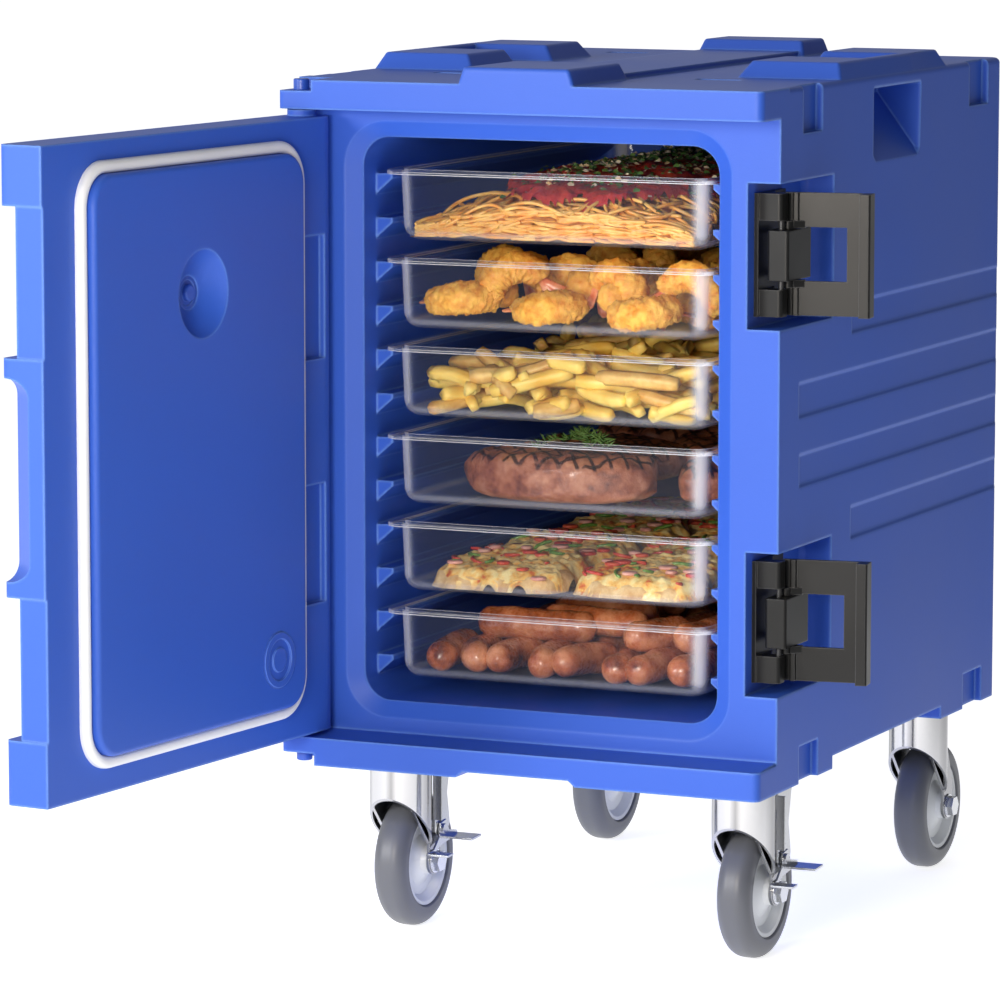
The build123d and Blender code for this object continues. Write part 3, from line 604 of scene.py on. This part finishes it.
def fries():
    """A heap of square-cut chips."""
    rng = np.random.default_rng(3)
    half, y0, y1, floor, rim = pan_inside(3)
    shape = Shape()
    for n in range(330):
        row = rng.random()
        y = y0 + 0.010 + (y1 - y0 - 0.02) * row**1.15
        x = rng.uniform(-half * 0.86, half * 0.86)
        top = 0.050 * heap(x, y, half * 1.05, y0 - 0.04, y1, 3.0)
        z = floor + 0.006 + max(0.0, top) * rng.random()
        long = rng.uniform(0.035, 0.085)
        angle = rng.normal(0, 0.55) + (math.pi / 2 if rng.random() < 0.16 else 0)
        rise = rng.normal(0, 0.20)
        aim = Vector((math.cos(angle) * math.cos(rise), math.sin(angle) * math.cos(rise), math.sin(rise)))
        sag = Vector((0, 0, rng.uniform(-0.004, 0.004)))
        centre = Vector((x, y, z))
        path = []
        for k in range(9):
            t = k / 8 - 0.5
            p = centre + aim * (long * t) + sag * (1 - 4 * t * t)
            p.x = min(max(p.x, -half + 0.003), half - 0.003)
            p.y = min(max(p.y, y0 + 0.006), y1 - 0.006)
            p.z = min(max(p.z, floor + 0.0045), rim + 0.006)
            path.append(p)
        wide = rng.uniform(0.0048, 0.0060)
        radii = [wide * k for k in (0.80, 1.0, 1.0, 0.98, 1.0, 1.02, 1.0, 1.0, 0.80)]
        verts, faces = tube(path, radii, 12)
        squared = []
        for i, v in enumerate(verts):
            c = path[i // 12]
            a = 2 * math.pi * (i % 12) / 12
            grow = 1 / max(abs(math.cos(a + 0.78)), abs(math.sin(a + 0.78))) ** 0.75
            squared.append(c + (v - c) * grow)
        shape.add(bumped(squared, centre, 120, 0.0006, n), faces, int(rng.random() < 0.25))
    shape.build("food_fries", [FOOD["fries"], FOOD["fries_brown"]], "pan_3_body")


def steak(shape, x, y, floor, rx, ry, tall, seed):
    """A thick grilled steak."""
    verts = []
    faces = []
    rings = 26
    around = 64
    for j in range(rings + 1):
        a = math.pi * (j / rings) - math.pi / 2
        out = abs(math.cos(a)) ** 0.36
        up = math.copysign(abs(math.sin(a)) ** 0.62, math.sin(a))
        for k in range(around):
            t = 2 * math.pi * k / around
            edge = 1 + 0.10 * noise.noise(Vector((math.cos(t) * 1.3, math.sin(t) * 1.3, seed)))
            px = x + math.cos(t) * rx * out * edge
            py = y + math.sin(t) * ry * out * edge
            rise = 1 if up > 0 else 0.1
            lump = 0.0045 * noise.fractal(Vector((px * 55, py * 55, seed)), 0.8, 2.1, 4) * rise
            fold = 1 + 0.05 * noise.fractal(Vector((px * 50, py * 50, up * 1.6 + seed)), 0.8, 2.1, 4)
            px = x + (px - x) * fold
            py = y + (py - y) * fold
            verts.append((px, py, floor + tall / 2 * (1 + up) + lump))
    for j in range(rings):
        for k in range(around):
            a = j * around + k
            b = j * around + (k + 1) % around
            faces.append((a, b, b + around, a + around))
    shape.add(verts, faces, 0)


def steaks():
    """Grilled steaks with a sprig of rosemary."""
    rng = np.random.default_rng(8)
    half, y0, y1, floor, _ = pan_inside(4)
    shape = Shape()
    for x, dy, rx, ry, tall, seed in (
        (-0.018, 0.070, 0.092, 0.058, 0.046, 1.0),
        (0.112, 0.135, 0.032, 0.070, 0.036, 4.0),
        (-0.045, 0.230, 0.080, 0.070, 0.034, 7.0),
        (0.060, 0.300, 0.072, 0.065, 0.033, 9.0),
        (-0.040, 0.405, 0.085, 0.062, 0.034, 12.0),
    ):
        steak(shape, x, y0 + dy, floor, rx, ry, tall, seed)
    sprigs = [(0.35, -0.012, 0.065, 0.0), (2.2, 0.0, 0.075, 0.004), (-0.6, 0.012, 0.06, 0.006)]
    for turn, x, dy, lift in sprigs:
        stem = []
        for k in range(14):
            t = k / 13 - 0.5
            px = x + math.cos(turn) * 0.058 * t
            py = y0 + dy + math.sin(turn) * 0.058 * t
            pz = floor + 0.0480 + lift + 0.008 * (1 - 4 * t * t)
            stem.append(Vector((px, py, pz)))
        shape.add(*tube(stem, [0.0008] * 14, 5), 2)
        for k in range(70):
            p = stem[int(rng.integers(0, 14))]
            a = rng.uniform(0, 6.28)
            rise = rng.uniform(-0.1, 0.9)
            aim = Vector((math.cos(a) * math.cos(rise), math.sin(a) * math.cos(rise), math.sin(rise)))
            shape.add(*tube([p, p + aim * 0.006, p + aim * 0.011], [0.0006, 0.0007, 0.0002], 4), 1)
    shape.build("food_steaks", [FOOD["steak"], FOOD["herb"], FOOD["stem"]], "pan_4_body")


def pizza():
    """Squares of pizza with toppings."""
    rng = np.random.default_rng(14)
    half, y0, y1, floor, _ = pan_inside(5)
    shape = Shape()
    slices = []
    for row in range(4):
        slices.append((-0.130, 0.000, y0 + 0.006 + row * 0.122, y0 + 0.118 + row * 0.122, row))
        slices.append((0.008, 0.134, y0 + 0.012 + row * 0.122, y0 + 0.120 + row * 0.122, row + 9))
    for x0, x1, ya, yb, seed in slices:
        cx = (x0 + x1) / 2
        cy = (ya + yb) / 2

        def crust(x, y):
            u = abs(x - cx) / ((x1 - x0) / 2)
            v = abs(y - cy) / ((yb - ya) / 2)
            wobble = 0.10 * noise.noise(Vector((x * 45, y * 45, seed)))
            reach = (u**4 + v**4) ** 0.25 + wobble
            if reach > 1.0:
                return -1.0
            slope = 0.010 * (y - ya) / (yb - ya)
            back = 0.006 * max(0.0, 1 - abs(v - 0.9) / 0.12) if y > cy else 0.0
            lumps = 0.002 * noise.noise(Vector((x * 160, y * 160, seed)))
            return (0.016 + slope + back + lumps) * (1 - reach**12) ** 0.5

        verts, faces = mound(x0, x1, ya, yb, floor, crust, 60, 54)
        keep = [f for f in faces if max(verts[i][2] for i in f) > floor + 0.0004]
        shape.add(verts, keep, 0)

        def melted(x, y):
            u = abs(x - cx) / ((x1 - x0) / 2)
            v = abs(y - cy) / ((yb - ya) / 2)
            spill = 0.16 * noise.noise(Vector((x * 70, y * 70, seed + 3)))
            inside = min(1.0, (0.95 - (u**4 + v**4) ** 0.25 - spill) * 9)
            lumps = 0.0022 * noise.fractal(Vector((x * 110, y * 110, seed)), 0.8, 2.1, 3)
            return crust(x, y) + (0.0022 + lumps if inside > 0 else 0.0022) * inside

        verts, faces = mound(x0, x1, ya, yb, floor, melted, 80, 70)
        keep = [f for f in faces if max(verts[i][2] for i in f) > floor + 0.0008]
        shape.add(verts, keep, 1)
        for _ in range(26):
            x = rng.uniform(x0 + 0.012, x1 - 0.012)
            y = rng.uniform(ya + 0.008, yb - 0.010)
            z = floor + melted(x, y) + 0.0015
            if melted(x, y) < 0:
                continue
            kind = int(rng.integers(0, 4))
            a = rng.uniform(0, 6.28)
            aim = Vector((math.cos(a), math.sin(a), rng.uniform(-0.1, 0.35)))
            p = Vector((x, y, z))
            if kind < 2:
                bend = Vector((-aim.y, aim.x, 0)) * 0.004
                path = [p - aim * 0.009, p - aim * 0.004 + bend, p + aim * 0.004 + bend, p + aim * 0.009]
                shape.add(*tube(path, [0.0012, 0.0018, 0.0018, 0.0012], 6), 2 if kind else 3)
            else:
                r = rng.uniform(0.005, 0.0085)
                disc = [p + Vector((0, 0, h)) for h in (-0.0012, 0.0, 0.0012, 0.0018)]
                shape.add(*tube(disc, [r, r * 1.05, r, r * 0.7], 14), 3 if kind == 2 else 4)
    shape.build(
        "food_pizza",
        [FOOD["dough"], FOOD["melt"], FOOD["pepper"], FOOD["tomato"], FOOD["ham"]],
        "pan_5_body",
    )


def sausages():
    """Grilled sausages, one layer across and a few on top."""
    rng = np.random.default_rng(21)
    half, y0, y1, floor, _ = pan_inside(6)
    shape = Shape()

    def one(x, y, z, turn, long, fat):
        path = []
        radii = []
        aim = Vector((math.cos(turn), math.sin(turn), rng.normal(0, 0.03)))
        side = Vector((-aim.y, aim.x, 0))
        arc = rng.uniform(-0.010, 0.010)
        for k in range(27):
            t = k / 26
            end = min(t, 1 - t) * long / fat
            radii.append(fat * math.sqrt(max(0.004, 1 - max(0.0, 1 - end) ** 2)))
            path.append(Vector((x, y, z)) + aim * (long * (t - 0.5)) + side * (arc * math.sin(math.pi * t)))
        verts, faces = tube(path, radii, 20)
        lumps = []
        for i, v in enumerate(verts):
            c = path[i // 20]
            lumps.append(v + (v - c) * (0.10 * noise.noise(v * 60)))
        shape.add(lumps, faces, 0)

    for x in (-0.122, -0.089, -0.056, -0.022, 0.012, 0.046, 0.080, 0.112):
        one(x, y0 + 0.056, floor + 0.0155, math.pi / 2 + rng.normal(0, 0.14), 0.086, 0.0145)
    one(-0.052, y0 + 0.085, floor + 0.040, 0.05, 0.118, 0.0150)
    one(0.000, y0 + 0.100, floor + 0.044, -0.10, 0.110, 0.0135)
    one(0.070, y0 + 0.078, floor + 0.040, 1.2, 0.080, 0.0150)
    one(0.108, y0 + 0.100, floor + 0.040, 1.35, 0.085, 0.0145)
    for row in range(4):
        for x in (-0.115, -0.078, -0.040, 0.0, 0.038, 0.076, 0.114):
            one(
                x + rng.normal(0, 0.003),
                y0 + 0.155 + row * 0.092,
                floor + 0.0155,
                math.pi / 2 + rng.normal(0, 0.2),
                0.088,
                0.0145,
            )
        x = rng.uniform(-0.06, 0.06)
        one(x, y0 + 0.17 + row * 0.09, floor + 0.041, rng.normal(0, 0.3), 0.105, 0.0140)
    shape.build("food_sausages", [FOOD["sausage"]], "pan_6_body")


FOOD = {
    "pasta": food_material(
        "pasta", [(0.35, (0.86, 0.32, 0.04, 1)), (0.65, (0.97, 0.58, 0.15, 1))],
        0.4, 60, 300, 0.0002, 0.3, 0.2,
    ),
    # The pasta under the strands: a darker copy of the pasta colour, painted shade for the depths of the
    # tangle.
    "pasta_shaded": food_material(
        "pasta_shaded", [(0.35, (0.45, 0.13, 0.03, 1)), (0.65, (0.72, 0.34, 0.10, 1))],
        0.5, 70, 400, 0.0006, 0.2,
    ),
    "sauce": food_material(
        "sauce", [(0.35, (0.42, 0.02, 0.012, 1)), (0.65, (0.66, 0.075, 0.03, 1))], 0.3, 80, 350, 0.0012, 0.5
    ),
    "herb": food_material(
        "herb", [(0.35, (0.05, 0.13, 0.02, 1)), (0.65, (0.14, 0.26, 0.06, 1))], 0.6, 200, 400, 0.0003
    ),
    "cheese": food_material(
        "cheese", [(0.35, (0.75, 0.55, 0.25, 1)), (0.65, (0.90, 0.80, 0.55, 1))],
        0.5, 90, 300, 0.0003, 0.2, 0.1,
    ),
    "crumb": food_material(
        "crumb", [(0.33, (0.80, 0.27, 0.02, 1)), (0.6, (1.0, 0.55, 0.09, 1))],
        0.55, 110, 700, 0.0012, 0.1, 0.1,
    ),
    "prawn_tail": food_material(
        "prawn_tail", [(0.35, (0.75, 0.13, 0.03, 1)), (0.65, (0.95, 0.45, 0.22, 1))],
        0.3, 120, 300, 0.0002, 0.4,
    ),
    "fries": food_material(
        "fries", [(0.3, (0.90, 0.55, 0.07, 1)), (0.65, (0.98, 0.74, 0.20, 1))],
        0.5, 45, 400, 0.0003, 0.15, 0.2,
    ),
    "fries_brown": food_material(
        "fries_brown", [(0.3, (0.62, 0.30, 0.05, 1)), (0.65, (0.88, 0.62, 0.20, 1))],
        0.5, 60, 400, 0.0003, 0.15, 0.2,
    ),
    "stem": food_material(
        "stem", [(0.35, (0.16, 0.12, 0.04, 1)), (0.65, (0.22, 0.20, 0.08, 1))], 0.6, 90, 300, 0.0002
    ),
    "dough": food_material(
        "dough", [(0.35, (0.62, 0.33, 0.10, 1)), (0.65, (0.86, 0.64, 0.32, 1))], 0.6, 60, 400, 0.0008
    ),
    "melt": food_material(
        "melt",
        [(0.34, (0.70, 0.14, 0.03, 1)), (0.43, (0.95, 0.55, 0.12, 1)), (0.60, (1.0, 0.82, 0.36, 1))],
        0.35,
        75,
        300,
        0.0010,
        0.3,
    ),
    "pepper": food_material(
        "pepper", [(0.35, (0.07, 0.20, 0.02, 1)), (0.65, (0.20, 0.36, 0.06, 1))], 0.35, 120, 300, 0.0002, 0.4
    ),
    "tomato": food_material(
        "tomato", [(0.35, (0.55, 0.03, 0.02, 1)), (0.65, (0.75, 0.14, 0.06, 1))], 0.35, 120, 300, 0.0003, 0.4
    ),
    "ham": food_material(
        "ham", [(0.35, (0.66, 0.26, 0.20, 1)), (0.65, (0.82, 0.46, 0.36, 1))], 0.4, 90, 300, 0.0003, 0.3
    ),
    "sausage": food_material(
        "sausage",
        [(0.32, (0.12, 0.022, 0.008, 1)), (0.48, (0.46, 0.13, 0.045, 1)), (0.68, (0.74, 0.33, 0.16, 1))],
        0.28,
        34,
        260,
        0.0006,
        0.5,
        0.1,
    ),
}


def steak_material():
    """Seared meat with crossed grill marks."""
    m, tree, shader, coords = new_material("steak")
    meat = ramp_node(
        tree,
        noise_node(tree, coords, 45.0, 5.0, 0.65),
        [(0.33, (0.12, 0.030, 0.014, 1)), (0.5, (0.36, 0.12, 0.055, 1)), (0.70, (0.58, 0.27, 0.15, 1))],
    )
    facing = tree.nodes.new("ShaderNodeSeparateXYZ")
    tree.links.new(coords.node.outputs["Normal"], facing.inputs["Vector"])
    top = tree.nodes.new("ShaderNodeMapRange")
    top.inputs["From Min"].default_value = 0.25
    top.inputs["From Max"].default_value = 0.60
    tree.links.new(facing.outputs["Z"], top.inputs["Value"])
    seared = meat
    for direction, tilt in (("X", 0.75), ("X", -0.75)):
        turned = tree.nodes.new("ShaderNodeMapping")
        turned.inputs["Rotation"].default_value = (0, 0, tilt)
        tree.links.new(coords, turned.inputs["Vector"])
        wave = tree.nodes.new("ShaderNodeTexWave")
        wave.bands_direction = direction
        wave.inputs["Scale"].default_value = 21.0
        wave.inputs["Distortion"].default_value = 0.4
        tree.links.new(turned.outputs["Vector"], wave.inputs["Vector"])
        bars = ramp_node(tree, wave.outputs["Fac"], [(0.05, (0.12, 0.08, 0.07, 1)), (0.18, (1, 1, 1, 1))])
        seared = mix_colour(tree, top.outputs["Result"], seared, bars, "MULTIPLY")
    tree.links.new(seared, shader.inputs["Base Color"])
    fine = noise_node(tree, coords, 420.0, 4.0, 0.65)
    tree.links.new(range_node(tree, fine, 0.25, 0.5), shader.inputs["Roughness"])
    tree.links.new(bump_node(tree, fine, 0.8, 0.0012), shader.inputs["Normal"])
    shader.inputs["Coat Weight"].default_value = 0.4
    shader.inputs["Coat Roughness"].default_value = 0.2
    return m


FOOD["steak"] = steak_material()


# --------------------------------------------------------------------------
# Floor, light and camera

def make_floor():
    """A plain pale floor that glows by itself, except to the right, where the side falls dark."""
    bpy.ops.mesh.primitive_plane_add(size=120, location=(0, 30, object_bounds()[0].z - 0.0005))
    floor = bpy.context.object
    floor.name = "floor"
    m, tree, shader, coords = new_material("floor_pale")
    pales = [(0.3, (0.93, 0.93, 0.93, 1)), (0.7, (0.96, 0.96, 0.96, 1))]
    tint = ramp_node(tree, noise_node(tree, coords, 0.4), pales)
    tree.links.new(tint, shader.inputs["Base Color"])
    shader.inputs["Roughness"].default_value = 0.9
    shader.inputs["Specular IOR Level"].default_value = 0.1
    shader.inputs["Emission Color"].default_value = (1, 1, 1, 1)
    across = tree.nodes.new("ShaderNodeVectorMath")
    across.operation = "DOT_PRODUCT"
    across.inputs[1].default_value = GLOW_ACROSS
    tree.links.new(tree.nodes.new("ShaderNodeNewGeometry").outputs["Position"], across.inputs[0])
    glow = tree.nodes.new("ShaderNodeMapRange")
    glow.interpolation_type = "SMOOTHSTEP"
    glow.inputs["From Min"].default_value = GLOW_FROM
    glow.inputs["From Max"].default_value = GLOW_TO
    glow.inputs["To Min"].default_value = 0.74
    glow.inputs["To Max"].default_value = 0.06
    tree.links.new(across.outputs["Value"], glow.inputs["Value"])
    tree.links.new(glow.outputs["Result"], shader.inputs["Emission Strength"])
    floor.data.materials.append(m)


def area_light(name, place, aim, size, power, colour=(1, 1, 1)):
    data = bpy.data.lights.new(name, "AREA")
    data.shape = "DISK"
    data.size = size
    data.color = colour
    data.energy = power
    lamp = bpy.data.objects.new(name, data)
    bpy.context.scene.collection.objects.link(lamp)
    lamp.location = place
    lamp.rotation_euler = (Vector(aim) - Vector(place)).to_track_quat("-Z", "Y").to_euler()


def make_light():
    """A soft key from the front left, a weak front fill and a sky that darkens to the right."""
    world = bpy.data.worlds.new("studio")
    bpy.context.scene.world = world
    world.use_nodes = True
    tree = world.node_tree
    coords = tree.nodes.new("ShaderNodeTexCoord")
    toward = tree.nodes.new("ShaderNodeVectorMath")
    toward.operation = "DOT_PRODUCT"
    toward.inputs[1].default_value = (0.97, 0.0, -0.22)
    tree.links.new(coords.outputs["Generated"], toward.inputs[0])
    spread = tree.nodes.new("ShaderNodeMapRange")
    spread.inputs["From Min"].default_value = -1.0
    spread.inputs["From Max"].default_value = 1.0
    tree.links.new(toward.outputs["Value"], spread.inputs["Value"])
    shades = [
        (0.0, (0.9, 0.9, 0.9, 1)),
        (0.45, (0.52, 0.53, 0.55, 1)),
        (0.70, (0.14, 0.145, 0.16, 1)),
        (1.0, (0.06, 0.06, 0.07, 1)),
    ]
    sky = tree.nodes["Background"]
    tree.links.new(ramp_node(tree, spread.outputs["Result"], shades), sky.inputs["Color"])
    sky.inputs["Strength"].default_value = 0.7
    area_light("key", (-1.9, -3.6, 1.25), (0, 0, 0.35), 1.2, 82)
    area_light("front", (0.9, -4.3, 1.0), (0, 0, 0.3), 1.2, 26)
    area_light("inside", (0.25, -2.2, 0.62), (0, 0, 0.28), 0.5, 17, (1.0, 0.90, 0.78))


def make_camera():
    """The photograph's view: long lens, from the front right, looking slightly down."""
    data = bpy.data.cameras.new("camera")
    data.sensor_width = 36.0
    data.lens = CAMERA_LENS
    data.clip_end = 200
    cam = bpy.data.objects.new("camera", data)
    bpy.context.scene.collection.objects.link(cam)
    cam.location = CAMERA_PLACE
    cam.rotation_euler = (math.radians(90 - CAMERA_DOWN_DEG), 0, math.radians(CAMERA_TURN_DEG))
    bpy.context.scene.camera = cam


make_camera()
shade_cad()
spaghetti()
prawns()
fries()
steaks()
pizza()
sausages()
make_floor()
make_light()
bpy.context.scene.view_settings.view_transform = "Standard"
